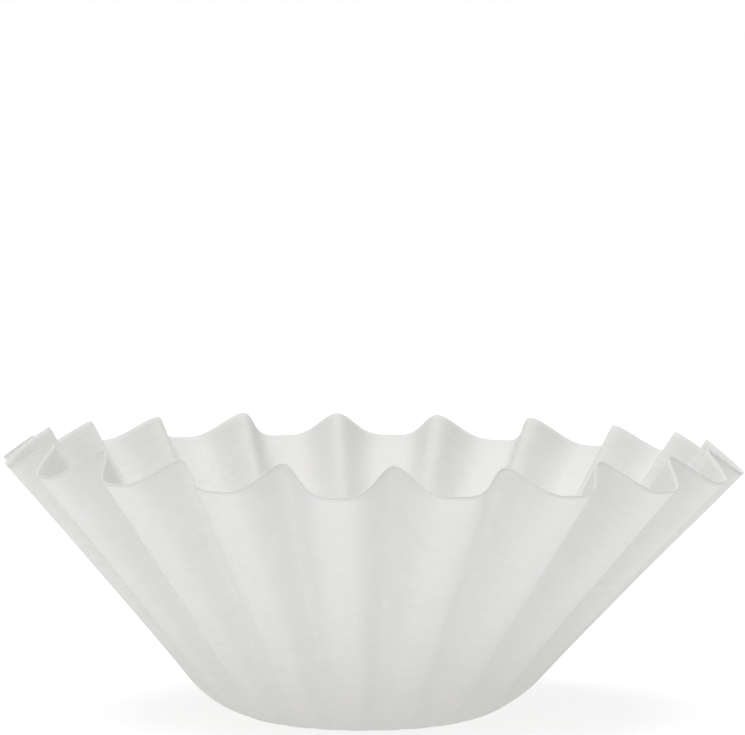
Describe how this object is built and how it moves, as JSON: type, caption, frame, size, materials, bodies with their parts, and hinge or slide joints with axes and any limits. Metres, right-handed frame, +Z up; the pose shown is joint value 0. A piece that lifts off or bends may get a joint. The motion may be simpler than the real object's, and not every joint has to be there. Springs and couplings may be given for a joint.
{
  "type": "paper coffee filter",
  "caption": "Fluted basket coffee filter of thin white crepe paper: a shallow cup with a small flat base, a round bend and a flared wall pressed into soft flutes, open at the top.",
  "frame": {"origin": "centre of the underside of the flat base, on the surface that the cup stands on", "axes": "+Z up out of the cup, along its axis; -Y towards the front as pictured; +X to the right as seen from the front"},
  "size_m": [0.1634, 0.1635, 0.064],
  "materials": {
    "filter_paper": "matte bleached crepe paper"
  },
  "bodies": {
    "root": {"filter_paper": "filter_paper"}
  },
  "joints": []
}
